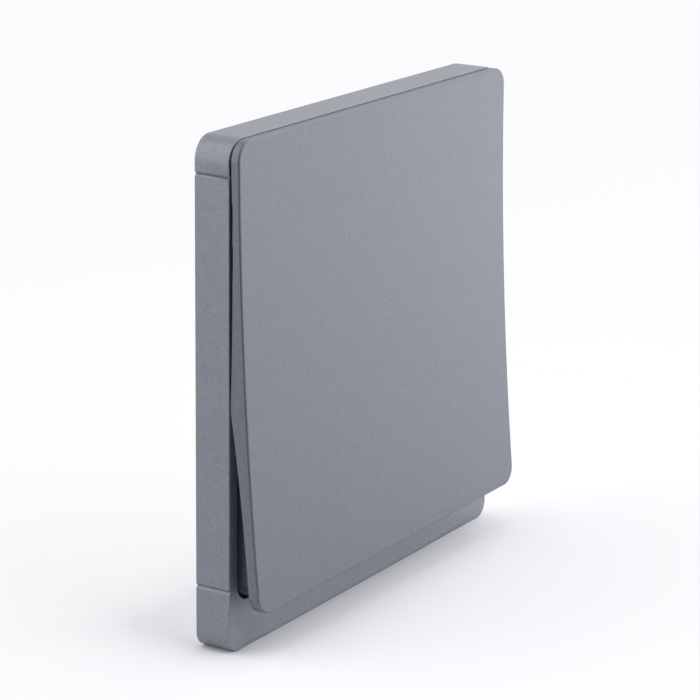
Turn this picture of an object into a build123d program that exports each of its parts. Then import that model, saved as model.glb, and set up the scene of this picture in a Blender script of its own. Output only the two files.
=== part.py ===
from build123d import *
import os
from math import atan2, cos, degrees, hypot, radians, sin, tan

# Intermediate light switch on a square 86 mm plate, in millimetres.
# X runs right along the wall, Y into the wall and Z up, so the front faces -Y.
# The origin is the plate's centre on the wall plane. The rocker rests with its upper half pressed in.

# Frame: outline, side band, window border and chin
plate_size = 86.0
top_corner = 3.9
low_corner = 2.9
band_depth = 6.5
band_edge = 0.15
frame_wall = 1.8
border_width = 2.4
window_corner = 3.0
chin_rise = 0.9
chin_slope = 60.0
chin_round = 0.5
chin_corner = 2.2
chin_inset = 3.7
chin_low_inset = 0.2
chin_skin = 1.8
chin_gap = 0.4
groove_top_inset = 5.95
groove_bottom_inset = 11.0
groove_width = 0.8
groove_depth = 0.35
pry_width = 9.0
pry_height = 1.0

# Catches that hold the frame on the mounting plate
catch_spacing = 44.0
catch_width = 8.0
catch_reach = 1.0
catch_height = 0.7
catch_setback = 0.2
catch_gap = 0.15

# Rocker: swing each way from level, insets of its edges from the plate's, lip and skirt
swing = 3.05
pivot_depth = 3.5
rocker_top_inset = 0.45
rocker_bottom_inset = 7.35
rocker_inset = 0.1
rocker_corner = 3.3
lip_gap = 0.1
lip_depth = 1.81
heel_gap = 0.2
front_hollow = 0.97
rear_bow = 0.35
rocker_edge = 0.35
rocker_skin = 1.7
skirt_wall = 1.2
skirt_gap = 0.6
skirt_floor_gap = 0.4
sill_cover = 1.05
rib_spacing = 46.0
rib_thickness = 1.0
rib_height = 2.2
clip_width = 8.0
clip_thickness = 1.0
clip_hook = 0.6
clip_gap = 0.1
seat_height = 0.5

# Mounting plate, with the standard fixing centres
base_thickness = 1.8
base_fit = 0.2
fixing_centres = 60.3
fixing_hole = 4.0
boss_height = 2.8
boss_wall = 1.75

# Dolly and its bearings
pin_radius = 1.6
pin_fit = 0.05
pin_end = 0.3
ear_thickness = 2.0
ear_rim = 1.4
dolly_gap = 0.3
dolly_slot_gap = 0.2
cheek_thickness = 1.5
cheek_cover = 0.6
head_height = 14.0
head_thickness = 2.0
barrel_wall = 1.0
barrel_reach = 3.0
barrel_sweep_gap = 0.6

# Plungers and their springs, each pole inwards of its terminal pillars
pole_inset = 4.3
plunger_radius = 1.5
plunger_fit = 0.1
plunger_length = 5.7
plunger_gap = 0.12
spring_length = 4.0
spring_wire = 0.4
spring_turns = 4
spring_fit = 0.15

# See-saw blades and their contact buttons
blade_pivot = 6.0
blade_swing = 7.0
blade_width = 5.0
blade_length = 17.0
blade_thickness = 0.8
blade_corner = 0.8
trunnion_radius = 0.5
trunnion_fit = 0.05
contact_arm = 6.8
button_radius = 1.5
button_height = 0.8
button_dome = 0.3
contact_gap = 0.05
fixed_radius = 1.7
fixed_height = 0.9

# Brass strip: blade cradles and crossed straps
strip = 0.8
cradle_gap = 0.4
cradle_rim = 1.0
cradle_height = 3.2
leg_height = 1.8
strap_width = 2.4
strap_air = 1.2
pad_length = 4.0
tail_width = 2.5
tail_gap = 0.3

# Housing, terminal pillars and screws
housing_width = 37.0
housing_height = 42.0
housing_depth = 15.0
housing_wall = 1.6
housing_floor = 1.8
housing_corner = 2.0
lug_width = 10.0
lug_length = 7.0
lug_thickness = 2.0
pillar_width = 6.6
pillar_length = 7.0
pillar_height = 7.6
pillar_fit = 0.3
tunnel_radius = 1.9
tunnel_wall = 0.85
wire_entry_gap = 0.55
post_radius = 1.3
pedestal_width = 3.0
terminal_screw_radius = 1.2
terminal_screw_head = 2.0
terminal_screw_head_height = 1.4
terminal_tip_gap = 0.35
screw_slot = 0.5
access_gap = 0.4
fixing_screw_radius = 1.2
fixing_screw_head = 2.6
fixing_screw_head_height = 1.6
screw_fit = 0.05
lug_hole_gap = 0.3

# Sizes worked out from the ones above
half_plate = plate_size / 2
chin_depth = band_depth + chin_rise
rebate_half = half_plate - frame_wall
rebate_corner = low_corner - frame_wall
window_half = half_plate - border_width
lean = radians(swing)
rocker_half = half_plate - rocker_inset
rocker_top = half_plate - rocker_top_inset
rocker_bottom = half_plate - rocker_bottom_inset
groove_top = half_plate - groove_top_inset
groove_bottom = half_plate - groove_bottom_inset
rocker_mid = (rocker_top - rocker_bottom) / 2
rocker_reach = (rocker_top + rocker_bottom) / 2
vertex_height = band_depth + lip_gap - pivot_depth
front_end = vertex_height + rocker_top * tan(lean) + lip_depth
front_mid = front_end - front_hollow
pressed_low = rocker_bottom * cos(lean) + front_end * sin(lean)
chin_top = pressed_low + chin_gap
chin_low = half_plate - chin_low_inset
chin_run = chin_rise * tan(radians(chin_slope))
window_low = rocker_bottom - sill_cover
skirt_half = window_half - skirt_gap
skirt_low = window_low - skirt_gap
skirt_rear = base_thickness + skirt_floor_gap + skirt_half * sin(lean) - pivot_depth
inside_front = front_mid - rocker_skin
root_height = front_mid - rocker_skin / 3
base_half = rebate_half - base_fit
inner_half_width = housing_width / 2 - housing_wall
inner_half_height = housing_height / 2 - housing_wall
pillar_x = inner_half_width - pillar_fit - pillar_width / 2
pole_x = pillar_x - pole_inset
pole_spacing = 2 * pole_x
barrel_radius = plunger_radius + plunger_fit + barrel_wall
cheek_outer = pole_x + barrel_radius + cheek_cover
head_front = inside_front - seat_height
head_rear = head_front - head_thickness
ear_middle = cheek_outer + dolly_gap + ear_thickness / 2
barrel_rear = pivot_depth + barrel_reach
barrel_sweep = barrel_rear * sin(lean)
blade_front = blade_pivot - blade_thickness / 2
plunger_tip = pivot_depth + blade_front - plunger_gap
plunger_tail = plunger_tip - plunger_length
bore_end = plunger_tail - spring_length
tilt = radians(blade_swing)
dome_radius = (button_radius**2 + button_dome**2) / (2 * button_dome)
dome_centre = blade_thickness / 2 + button_height - dome_radius
closed_reach = dome_centre * cos(tilt) + contact_arm * sin(tilt) + dome_radius
fixed_front = blade_pivot + closed_reach + contact_gap
strap_a_front = fixed_front + fixed_height
strap_b_front = strap_a_front + strip + strap_air
cradle_inner = blade_width / 2 + cradle_gap
cradle_outer = cradle_inner + strip
cavity_end = housing_depth - housing_floor
pillar_z = inner_half_height - pillar_fit - pillar_length / 2
pillar_inner = pillar_z - pillar_length / 2
pillar_front = cavity_end - pillar_height
tunnel_y = pillar_front + tunnel_wall + tunnel_radius
tail_x = pillar_x - tunnel_radius - tail_gap - tail_width / 2
lug_z = housing_height / 2 + lug_length / 2
sides = {"left": -1, "right": 1}

os.makedirs("parts", exist_ok=True)


def face(depth):
    """Plane parallel to the wall, at a depth in front of it, with its normal towards the viewer."""
    return Plane(origin=(0, -depth, 0), x_dir=(1, 0, 0), z_dir=(0, -1, 0))


def behind(y):
    """Plane parallel to the wall, at a distance behind it, with its normal towards the viewer."""
    return face(-y)


def side(x):
    """Plane across X, with its own x towards the viewer and its own y up."""
    return Plane(origin=(x, 0, 0), x_dir=(0, -1, 0), z_dir=(-1, 0, 0))


def rocked(height):
    """Plane across the resting rocker, at a height in front of its pivot axis."""
    out = (0, -cos(lean), sin(lean))
    origin = (0, -pivot_depth + height * out[1], height * out[2])
    return Plane(origin=origin, x_dir=(1, 0, 0), z_dir=out)


def rocked_side(x):
    """Plane across X through the pivot, with its own x out of the resting rocker and its own y up it."""
    return Plane(origin=(x, -pivot_depth, 0), x_dir=(0, -cos(lean), sin(lean)), z_dir=(-1, 0, 0))


def rocked_section(x):
    """Plane along a plunger's axis, with its own y pointing back from the pivot."""
    return Plane(origin=(x, -pivot_depth, 0), x_dir=(1, 0, 0), z_dir=(0, sin(lean), cos(lean)))


def tilted(height):
    """Plane along a resting blade, at a height in front of its pivot axis."""
    out = (0, -cos(tilt), -sin(tilt))
    origin = (0, blade_pivot + height * out[1], height * out[2])
    return Plane(origin=origin, x_dir=(1, 0, 0), z_dir=out)


def tilted_section(x, z):
    """Plane across a resting blade's button, with its own y pointing back."""
    up = (0, -sin(tilt), cos(tilt))
    return Plane(origin=(x, blade_pivot + z * up[1], z * up[2]), x_dir=(1, 0, 0), z_dir=up)


def front_height(up):
    """Height of the rocker's hollowed front above the pivot axis, at a distance up the rocker."""
    return front_mid + front_hollow * ((up - rocker_mid) / rocker_reach) ** 2


def rear_bulge(end):
    """Middle point of the bowed rear edge that runs from the pivot to one end of the rocker."""
    return ((vertex_height + end[0]) / 2 + rear_bow, end[1] / 2)


def save(piece, name):
    """Label a finished piece and write it as one STEP file."""
    piece.part.label = name
    export_step(piece.part, f"parts/{name}.step")


# Chin: a low raised pad with gently sloped sides, inset from the plate's sides and lower edge
with BuildPart() as chin:
    chin_width = 2 * (half_plate - chin_inset)
    chin_height = chin_low - chin_top
    for depth, run in ((band_depth, 0), (chin_depth, chin_run)):
        with BuildSketch(face(depth)):
            with Locations((0, -(chin_top + chin_low) / 2)):
                RectangleRounded(chin_width - 2 * run, chin_height - 2 * run, chin_corner - run)
    loft()
    fillet(chin.faces().sort_by(Axis.Y)[0].edges(), chin_round)

# Frame: one moulding, with the window in front and a rebate for the mounting plate behind
with BuildPart() as frame:
    with BuildSketch(face(0)) as outline:
        Rectangle(plate_size, plate_size)
        fillet(outline.vertices().group_by(Axis.Y)[-1], top_corner)
        fillet(outline.vertices().group_by(Axis.Y)[0], low_corner)
    extrude(amount=band_depth)
    fillet(frame.faces().sort_by(Axis.Y)[0].edges(), band_edge)
    add(chin.part)
    with BuildSketch(face(0)):
        RectangleRounded(2 * rebate_half, 2 * rebate_half, rebate_corner)
    extrude(amount=base_thickness, mode=Mode.SUBTRACT)
    with BuildSketch(face(0)):
        with Locations((0, (window_half - window_low) / 2)):
            RectangleRounded(2 * window_half, window_half + window_low, window_corner)
    extrude(amount=band_depth, mode=Mode.SUBTRACT)
    core_low = half_plate - frame_wall
    core_high = chin_top + frame_wall / 2
    with BuildSketch(face(0)):
        with Locations((0, -(core_low + core_high) / 2)):
            Rectangle(2 * (window_half - window_corner), core_low - core_high)
    extrude(amount=chin_depth - chin_skin, mode=Mode.SUBTRACT)
    with BuildSketch(face(0)):
        for x in (-half_plate, half_plate):
            for z in (groove_top, -groove_bottom):
                with BuildLine():
                    Polyline(
                        (x - groove_depth, z),
                        (x, z + groove_width / 2),
                        (x + groove_depth, z),
                        (x, z - groove_width / 2),
                        close=True,
                    )
                make_face()
    extrude(amount=band_depth, mode=Mode.SUBTRACT)
    with BuildSketch(face(catch_setback)):
        with GridLocations(catch_spacing, 2 * rebate_half - catch_reach, 2, 2):
            Rectangle(catch_width, catch_reach)
    extrude(amount=catch_height)
    with BuildSketch(face(0)):
        with Locations((0, -half_plate)):
            Rectangle(pry_width, 2 * frame_wall)
    extrude(amount=pry_height, mode=Mode.SUBTRACT)
save(frame, "frame")

# Rocker: a thin plate with a hollowed front and a V-shaped rear edge, and a skirt that dips into the window
with BuildPart() as rocker:
    with BuildSketch(rocked_side(0)):
        top_rear = (vertex_height + rocker_top * tan(lean), rocker_top)
        low_rear = (vertex_height + rocker_bottom * tan(lean) + heel_gap, -rocker_bottom)
        with BuildLine():
            ThreePointArc((vertex_height, 0), rear_bulge(top_rear), top_rear)
            Line(top_rear, (front_end, rocker_top))
            ThreePointArc((front_end, rocker_top), (front_mid, rocker_mid), (front_end, -rocker_bottom))
            Line((front_end, -rocker_bottom), low_rear)
            ThreePointArc(low_rear, rear_bulge(low_rear), (vertex_height, 0))
        make_face()
    extrude(amount=rocker_half, both=True)
    out = Axis((0, 0, 0), rocked(0).z_dir)
    fillet(rocker.edges().filter_by(out), rocker_corner)
    fillet(rocker.faces().sort_by(out)[-1].edges(), rocker_edge)
    inner_top = skirt_half - skirt_wall / 2
    inner_low = skirt_wall / 2 - skirt_low
    with BuildSketch(rocked_side(0)):
        with BuildLine():
            Line((0, inner_low), (front_height(inner_low) - rocker_skin, inner_low))
            ThreePointArc(
                (front_height(inner_low) - rocker_skin, inner_low),
                (inside_front, rocker_mid),
                (front_height(inner_top) - rocker_skin, inner_top),
            )
            Polyline((front_height(inner_top) - rocker_skin, inner_top), (0, inner_top), (0, inner_low))
        make_face()
    extrude(amount=inner_top, both=True, mode=Mode.SUBTRACT)
    skirt_corner = window_corner - skirt_gap
    with BuildSketch(rocked(skirt_rear)):
        with Locations((0, (skirt_half - skirt_low) / 2)):
            RectangleRounded(2 * skirt_half, skirt_half + skirt_low, skirt_corner)
            RectangleRounded(
                2 * (skirt_half - skirt_wall),
                skirt_half + skirt_low - 2 * skirt_wall,
                skirt_corner - skirt_wall,
                mode=Mode.SUBTRACT,
            )
    extrude(amount=root_height - skirt_rear)
    with BuildSketch(rocked(root_height - rib_height)):
        with Locations((0, (skirt_half - skirt_low) / 2)):
            with GridLocations(rib_spacing, 0, 2, 1):
                Rectangle(rib_thickness, skirt_half + skirt_low - skirt_wall)
    extrude(amount=rib_height)
    with BuildSketch(rocked(head_front)):
        Rectangle(2 * (cheek_outer - clip_thickness), head_height - 2 * clip_hook)
    extrude(amount=root_height - head_front)
    clip_z = head_height / 2 + clip_gap + clip_thickness / 2
    hook_front = head_rear - clip_gap
    with BuildSketch(rocked(hook_front - clip_hook)):
        with GridLocations(0, 2 * clip_z, 1, 2):
            Rectangle(clip_width, clip_thickness)
    extrude(amount=root_height - hook_front + clip_hook)
    with BuildSketch(rocked(hook_front - clip_hook)):
        with GridLocations(0, 2 * clip_z - clip_thickness, 1, 2):
            Rectangle(clip_width, 2 * clip_hook)
    extrude(amount=clip_hook)
save(rocker, "rocker")

# Mounting plate: seats in the frame's rebate, with bearing ears for the dolly and bosses for the housing
with BuildPart() as mounting_plate:
    with BuildSketch(face(0)):
        RectangleRounded(2 * base_half, 2 * base_half, rebate_corner)
        slot_height = 2 * (barrel_radius + barrel_sweep + barrel_sweep_gap)
        Rectangle(2 * (cheek_outer + dolly_slot_gap), slot_height, mode=Mode.SUBTRACT)
        with GridLocations(fixing_centres, 0, 2, 1):
            Circle(fixing_hole / 2, mode=Mode.SUBTRACT)
    extrude(amount=base_thickness)
    with BuildSketch(face(base_thickness)):
        with GridLocations(0, 2 * lug_z, 1, 2):
            Circle(fixing_screw_radius + screw_fit + boss_wall)
    extrude(amount=boss_height)
    with BuildSketch(face(0)):
        with GridLocations(0, 2 * lug_z, 1, 2):
            Circle(fixing_screw_radius + screw_fit)
    extrude(amount=base_thickness + boss_height, mode=Mode.SUBTRACT)
    with BuildSketch(side(-ear_middle), side(ear_middle)):
        ear_radius = pin_radius + pin_fit + ear_rim
        with Locations((pivot_depth, 0)):
            Circle(ear_radius)
        with Locations(((base_thickness + pivot_depth) / 2, 0)):
            Rectangle(pivot_depth - base_thickness, 2 * ear_radius)
        with Locations((base_thickness - ear_radius, 0)):
            Rectangle(2 * ear_radius, 2 * ear_radius, mode=Mode.SUBTRACT)
        with Locations((pivot_depth, 0)):
            Circle(pin_radius + pin_fit, mode=Mode.SUBTRACT)
    extrude(amount=ear_thickness / 2, both=True)
    notch_height = catch_setback + catch_height + catch_gap
    notch_reach = catch_reach - base_fit + catch_gap
    with BuildSketch(face(0)):
        with GridLocations(catch_spacing, 2 * base_half, 2, 2):
            Rectangle(catch_width + 2 * catch_gap, 2 * notch_reach)
    extrude(amount=notch_height, mode=Mode.SUBTRACT)
save(mounting_plate, "mounting_plate")

# Dolly: head that the rocker clips on, two cheeks with pivot pins, and two barrels for the plungers
with BuildPart() as dolly:
    with BuildSketch(rocked(head_rear)):
        Rectangle(2 * cheek_outer, head_height)
    extrude(amount=head_thickness)
    cheek_middle = cheek_outer - cheek_thickness / 2
    with BuildSketch(rocked_side(-cheek_middle), rocked_side(cheek_middle)):
        Circle(barrel_radius)
        with Locations((head_rear / 2, 0)):
            Rectangle(head_rear, 2 * barrel_radius)
    extrude(amount=cheek_thickness / 2, both=True)
    with BuildSketch(rocked(-barrel_rear)):
        with GridLocations(pole_spacing, 0, 2, 1):
            Circle(barrel_radius)
    extrude(amount=barrel_rear + head_rear)
    with BuildSketch(rocked(-barrel_rear)):
        with GridLocations(pole_spacing, 0, 2, 1):
            Circle(plunger_radius + plunger_fit)
    extrude(amount=barrel_rear - bore_end, mode=Mode.SUBTRACT)
    pin_length = dolly_gap + ear_thickness + pin_end
    pin_middle = cheek_outer + pin_length / 2
    with BuildSketch(rocked_side(-pin_middle), rocked_side(pin_middle)):
        Circle(pin_radius)
    extrude(amount=pin_length / 2, both=True)
save(dolly, "dolly")

# Plungers: round-nosed rods in the dolly's barrels
for name, sign in sides.items():
    section = rocked_section(sign * pole_x)
    with BuildPart() as plunger:
        with BuildSketch(section):
            with BuildLine():
                nose = plunger_tip - plunger_radius
                Polyline((0, plunger_tip), (0, plunger_tail), (plunger_radius, plunger_tail))
                Line((plunger_radius, plunger_tail), (plunger_radius, nose))
                RadiusArc((plunger_radius, nose), (0, plunger_tip), -plunger_radius)
            make_face()
        revolve(axis=Axis(section.origin, section.y_dir))
    save(plunger, f"plunger_{name}")

# Springs: helices between each bore's end and the plunger's tail
for name, sign in sides.items():
    section = rocked_section(sign * pole_x)
    coil_radius = plunger_radius + plunger_fit - spring_fit - spring_wire / 2
    coil_height = spring_length - spring_wire - 2 * contact_gap
    coil_start = section.from_local_coords((0, bore_end + spring_wire / 2 + contact_gap, 0))
    with BuildPart() as spring:
        with BuildLine() as coil:
            Helix(coil_height / spring_turns, coil_height, coil_radius, coil_start, section.y_dir)
        with BuildSketch(Plane(origin=coil.line @ 0, z_dir=coil.line % 0)):
            RegularPolygon(spring_wire / 2, 4)
        sweep(path=coil.line, is_frenet=True)
    save(spring, f"spring_{name}")

# Blades: rocking strips with trunnions, tilted over at rest
for name, sign in sides.items():
    with BuildPart() as blade:
        with BuildSketch(tilted(-blade_thickness / 2)):
            with Locations((sign * pole_x, 0)):
                RectangleRounded(blade_width, blade_length, blade_corner)
        extrude(amount=blade_thickness)
        stub = cradle_outer + cradle_gap / 2 - plunger_radius
        stub_x = plunger_radius + stub / 2
        with BuildSketch(side(sign * pole_x - stub_x), side(sign * pole_x + stub_x)):
            with Locations((-blade_pivot, 0)):
                Circle(trunnion_radius)
        extrude(amount=stub / 2, both=True)
    save(blade, f"blade_{name}")

# Moving contacts: domed buttons behind both ends of each blade
for name, sign in sides.items():
    with BuildPart() as moving_contacts:
        for end in (-contact_arm, contact_arm):
            section = tilted_section(sign * pole_x, end)
            with BuildSketch(section):
                with BuildLine():
                    seat = blade_thickness / 2
                    shoulder = seat + button_height - button_dome
                    crown = seat + button_height
                    Polyline((0, crown), (0, seat), (button_radius, seat), (button_radius, shoulder))
                    RadiusArc((button_radius, shoulder), (0, crown), -dome_radius)
                make_face()
            revolve(axis=Axis(section.origin, section.y_dir))
    save(moving_contacts, f"moving_contacts_{name}")

# Feed brackets: bent strip cradles with open notches for the trunnions, and a leg to the upper pillar
cradle_front = blade_pivot - cradle_rim
cradle_rear = strap_a_front + strip
leg_rear = tunnel_y + tunnel_radius + tail_gap + leg_height
for name, sign in sides.items():
    with BuildPart() as bracket:
        with BuildSketch(behind(cradle_rear)):
            with Locations((sign * pole_x, 0)):
                Rectangle(2 * cradle_outer, cradle_height)
        extrude(amount=strip)
        ear_x = cradle_inner + strip / 2
        with BuildSketch(side(sign * pole_x - ear_x), side(sign * pole_x + ear_x)):
            with Locations((-(cradle_front + cradle_rear) / 2, 0)):
                Rectangle(cradle_rear - cradle_front, cradle_height)
        extrude(amount=strip / 2, both=True)
        with BuildSketch(side(sign * (pole_x + ear_x))):
            with BuildLine():
                Polyline(
                    (-cradle_rear, -cradle_height / 2),
                    (-cradle_rear, cradle_height / 2),
                    (-leg_rear + leg_height, cradle_height / 2),
                    (-leg_rear + leg_height, pillar_inner),
                    (-leg_rear, pillar_inner),
                    (-leg_rear, -cradle_height / 2),
                    close=True,
                )
            make_face()
        extrude(amount=strip / 2, both=True)
        with BuildSketch(side(sign * pole_x)):
            with Locations((-blade_pivot, 0)):
                Circle(trunnion_radius + trunnion_fit)
            with Locations((-blade_pivot + cradle_rim / 2, 0)):
                Rectangle(cradle_rim, 2 * (trunnion_radius + trunnion_fit))
        extrude(amount=cradle_outer + cradle_gap, both=True, mode=Mode.SUBTRACT)
    save(bracket, f"feed_bracket_{name}")

# Crossed straps: each joins one pole's lower contact to the other's upper contact, and runs to its pillar
diagonal = hypot(2 * pole_x, 2 * contact_arm)
slant = degrees(atan2(contact_arm, pole_x))
tail_length = pillar_inner - contact_arm
with BuildPart() as strap_a:
    with BuildSketch(behind(strap_a_front + strip)):
        with Locations((-pole_x, -contact_arm), (pole_x, contact_arm)):
            Rectangle(blade_width, pad_length)
        Rectangle(diagonal, strap_width, rotation=slant)
        with Locations((-tail_x, -contact_arm - tail_length / 2)):
            Rectangle(tail_width, tail_length)
    extrude(amount=strip)
save(strap_a, "cross_strap_a")

riser_x = pole_x - blade_width / 2 + strip / 2
with BuildPart() as strap_b:
    with BuildSketch(behind(strap_a_front + strip)):
        with Locations((pole_x, -contact_arm), (-pole_x, contact_arm)):
            Rectangle(blade_width, pad_length)
        with Locations((tail_x, -contact_arm - tail_length / 2)):
            Rectangle(tail_width, tail_length)
    extrude(amount=strip)
    with BuildSketch(behind(strap_b_front + strip)):
        with Locations((riser_x, -contact_arm), (-riser_x, contact_arm)):
            Rectangle(strip, pad_length)
    extrude(amount=strap_b_front - strap_a_front + strip)
    with BuildSketch(behind(strap_b_front + strip)):
        Rectangle(diagonal, strap_width, rotation=-slant)
        with Locations((riser_x + diagonal / 2, 0), (-riser_x - diagonal / 2, 0)):
            Rectangle(diagonal - strip, diagonal, mode=Mode.SUBTRACT)
    extrude(amount=strip)
save(strap_b, "cross_strap_b")

# Fixed contacts: four silver buttons on the straps' pads
with BuildPart() as fixed_contacts:
    with BuildSketch(behind(strap_a_front)):
        with GridLocations(pole_spacing, 2 * contact_arm, 2, 2):
            Circle(fixed_radius)
    extrude(amount=fixed_height)
save(fixed_contacts, "fixed_contacts")

# Housing: an open box behind the mounting plate, with screw lugs, wire entries and screwdriver holes
with BuildPart() as base_housing:
    with BuildSketch(behind(housing_depth)):
        RectangleRounded(housing_width, housing_height, housing_corner)
    extrude(amount=housing_depth)
    chamfer(base_housing.faces().sort_by(Axis.Y)[-1].edges(), housing_corner / 4)
    with BuildSketch(behind(cavity_end)):
        Rectangle(2 * inner_half_width, 2 * inner_half_height)
    extrude(amount=cavity_end, mode=Mode.SUBTRACT)
    with BuildSketch(behind(cavity_end)):
        with GridLocations(pole_spacing, 2 * contact_arm, 2, 2):
            Circle(post_radius)
        with GridLocations(pole_spacing, 0, 2, 1):
            Rectangle(pedestal_width, cradle_height)
    extrude(amount=cavity_end - strap_a_front - strip)
    with BuildSketch(behind(lug_thickness)):
        with GridLocations(0, housing_height + lug_length, 1, 2):
            Rectangle(lug_width, lug_length)
            Circle(fixing_screw_radius + lug_hole_gap, mode=Mode.SUBTRACT)
    extrude(amount=lug_thickness)
    with BuildSketch(behind(housing_depth)):
        with GridLocations(2 * pillar_x, 2 * pillar_z, 2, 2):
            Circle(terminal_screw_head + access_gap)
    extrude(amount=housing_floor, mode=Mode.SUBTRACT)
    with BuildSketch(Plane.XY.offset(-housing_height / 2)):
        with Locations((-pillar_x, tunnel_y), (pillar_x, tunnel_y)):
            Circle(tunnel_radius + wire_entry_gap)
    extrude(amount=housing_height, mode=Mode.SUBTRACT)
save(base_housing, "base_housing")

# Housing screws: pan heads behind the lugs, shanks in the mounting plate's bosses
with BuildPart() as housing_screws:
    with BuildSketch(behind(lug_thickness)):
        with GridLocations(0, 2 * lug_z, 1, 2):
            Circle(fixing_screw_radius)
    extrude(amount=lug_thickness + base_thickness + boss_height)
    with BuildSketch(behind(lug_thickness + fixing_screw_head_height)):
        with GridLocations(0, 2 * lug_z, 1, 2):
            Circle(fixing_screw_head)
    extrude(amount=fixing_screw_head_height)
    chamfer(housing_screws.edges().group_by(Axis.Y)[-1], fixing_screw_head_height / 4)
    with BuildSketch(behind(lug_thickness + fixing_screw_head_height)):
        with GridLocations(0, 2 * lug_z, 1, 2):
            Rectangle(2 * fixing_screw_head, screw_slot)
    extrude(amount=fixing_screw_head_height / 2, mode=Mode.SUBTRACT)
save(housing_screws, "housing_screws")

# Terminal pillars: brass blocks with a wire tunnel along Z and a clamp screw's hole from the rear
pillar_rows = {"feed": 1, "out": -1}
for row, end in pillar_rows.items():
    for name, sign in sides.items():
        with BuildPart() as pillar:
            with BuildSketch(behind(cavity_end)):
                with Locations((sign * pillar_x, end * pillar_z)):
                    Rectangle(pillar_width, pillar_length)
            extrude(amount=pillar_height)
            with BuildSketch(Plane.XY.offset(end * pillar_z)):
                with Locations((sign * pillar_x, tunnel_y)):
                    Circle(tunnel_radius)
            extrude(amount=pillar_length, both=True, mode=Mode.SUBTRACT)
            with BuildSketch(behind(cavity_end)):
                with Locations((sign * pillar_x, end * pillar_z)):
                    Circle(terminal_screw_radius + screw_fit)
            extrude(amount=cavity_end - tunnel_y, mode=Mode.SUBTRACT)
        save(pillar, f"terminal_{row}_{name}")

# Terminal screws: slotted cheese heads in the screwdriver holes, shanks short of the tunnels
with BuildPart() as terminal_screws:
    with BuildSketch(behind(cavity_end)):
        with GridLocations(2 * pillar_x, 2 * pillar_z, 2, 2):
            Circle(terminal_screw_radius)
    extrude(amount=cavity_end - tunnel_y - tunnel_radius - terminal_tip_gap)
    with BuildSketch(behind(cavity_end + terminal_screw_head_height)):
        with GridLocations(2 * pillar_x, 2 * pillar_z, 2, 2):
            Circle(terminal_screw_head)
    extrude(amount=terminal_screw_head_height)
    with BuildSketch(behind(cavity_end + terminal_screw_head_height)):
        with GridLocations(2 * pillar_x, 2 * pillar_z, 2, 2):
            Rectangle(2 * terminal_screw_head, screw_slot)
    extrude(amount=terminal_screw_head_height / 2, mode=Mode.SUBTRACT)
save(terminal_screws, "terminal_screws")
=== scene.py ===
"""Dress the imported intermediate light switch: painted mouldings, contact set, studio and camera."""

import logging
import math
from collections.abc import Sequence
from dataclasses import dataclass
from enum import Enum

import bmesh
import bpy
from mathutils import Matrix, Vector


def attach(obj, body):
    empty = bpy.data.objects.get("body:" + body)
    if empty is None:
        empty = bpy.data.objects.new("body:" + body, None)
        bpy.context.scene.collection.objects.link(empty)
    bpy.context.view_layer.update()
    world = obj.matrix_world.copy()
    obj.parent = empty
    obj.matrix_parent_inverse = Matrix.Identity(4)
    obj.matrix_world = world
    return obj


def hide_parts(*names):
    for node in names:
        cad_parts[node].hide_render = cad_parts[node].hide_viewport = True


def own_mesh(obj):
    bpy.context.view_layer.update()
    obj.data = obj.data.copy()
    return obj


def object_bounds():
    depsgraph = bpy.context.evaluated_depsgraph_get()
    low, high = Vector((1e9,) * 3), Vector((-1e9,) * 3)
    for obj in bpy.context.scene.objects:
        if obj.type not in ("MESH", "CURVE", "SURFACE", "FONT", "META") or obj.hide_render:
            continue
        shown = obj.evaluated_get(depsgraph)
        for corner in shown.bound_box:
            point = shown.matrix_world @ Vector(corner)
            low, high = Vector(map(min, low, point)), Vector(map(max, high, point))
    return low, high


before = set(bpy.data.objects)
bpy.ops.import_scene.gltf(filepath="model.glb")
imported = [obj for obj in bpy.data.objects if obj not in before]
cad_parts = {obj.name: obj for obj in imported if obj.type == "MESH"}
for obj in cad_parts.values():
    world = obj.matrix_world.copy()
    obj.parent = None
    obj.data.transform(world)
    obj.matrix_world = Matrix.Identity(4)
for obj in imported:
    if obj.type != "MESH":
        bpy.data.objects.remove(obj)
CAD_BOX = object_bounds()

MM = 0.001
log = logging.getLogger("switch")

# Turns about X that point a part's own up axis to the switch's rear or front
TO_REAR_DEG = -90.0
TO_FRONT_DEG = 90.0

# Steps of round forms: corners and rings of a turned disc, and points in each turn of a coil
DISC_SIDES = 48
DISC_RINGS = 8
TURN_STEPS = 28

Place = tuple[float, float, float]
Sizes = dict[str, bpy.types.NodeSocket]


class Slot(Enum):
    """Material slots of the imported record."""

    PAINT = "painted_plastic"
    BASE = "base_plastic"
    BEARING = "bearing_plastic"
    BRASS = "brass"
    SILVER = "contact_silver"
    STEEL = "steel"


class Body(Enum):
    """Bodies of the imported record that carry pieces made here."""

    HOUSING = "housing"
    ROCKER = "rocker"
    BLADE_LEFT = "blade_left"
    BLADE_RIGHT = "blade_right"


class Side(Enum):
    """The two poles of the switch, with the sign of their X."""

    LEFT = -1
    RIGHT = 1

    @property
    def word(self) -> str:
        """Name of the side as the nodes spell it."""
        return self.name.lower()


def linear(code: str) -> tuple[float, float, float, float]:
    """Turn an sRGB hex colour into linear RGBA, by the curve of the sRGB standard.

    Args:
        code: Colour such as "#8a8a90".

    Returns:
        Red, green, blue and alpha in linear light.
    """
    channels = [int(code[i : i + 2], 16) / 255 for i in (1, 3, 5)]
    light = [c / 12.92 if c <= 0.04045 else ((c + 0.055) / 1.055) ** 2.4 for c in channels]
    return (*light, 1.0)


def grain(size_mm: float) -> float:
    """Give the texture scale on Object coordinates for a pattern of a real size.

    Args:
        size_mm: Size of the pattern's grains in millimetres.

    Returns:
        The scale of a texture node.
    """
    return 1 / (size_mm * MM)


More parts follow.
